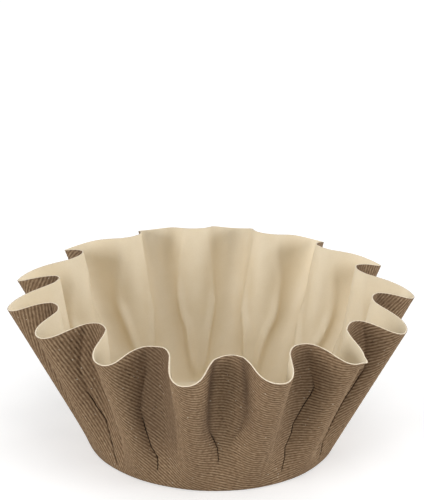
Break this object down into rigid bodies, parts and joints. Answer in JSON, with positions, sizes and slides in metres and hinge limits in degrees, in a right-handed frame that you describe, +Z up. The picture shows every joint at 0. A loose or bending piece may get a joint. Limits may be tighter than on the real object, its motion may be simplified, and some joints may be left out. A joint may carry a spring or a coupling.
{
  "type": "paper brioche mold",
  "caption": "Fluted paper baking mold, pressed in one piece from a round sheet: flat base, flared wavy wall, brown ribbed outside and cream inside.",
  "frame": {"origin": "middle of the flat base, on the face that rests on the table", "axes": "+Z up out of the open mouth; -Y faces the picture's camera, with a valley between two flutes a little right of it; +X to the right of the picture"},
  "size_m": [0.1111, 0.1104, 0.0454],
  "materials": {
    "mold_paper": "matte brown micro-ribbed baking paper outside, smooth cream greaseproof inside"
  },
  "bodies": {
    "root": {"paper_mold": "mold_paper"}
  },
  "joints": []
}
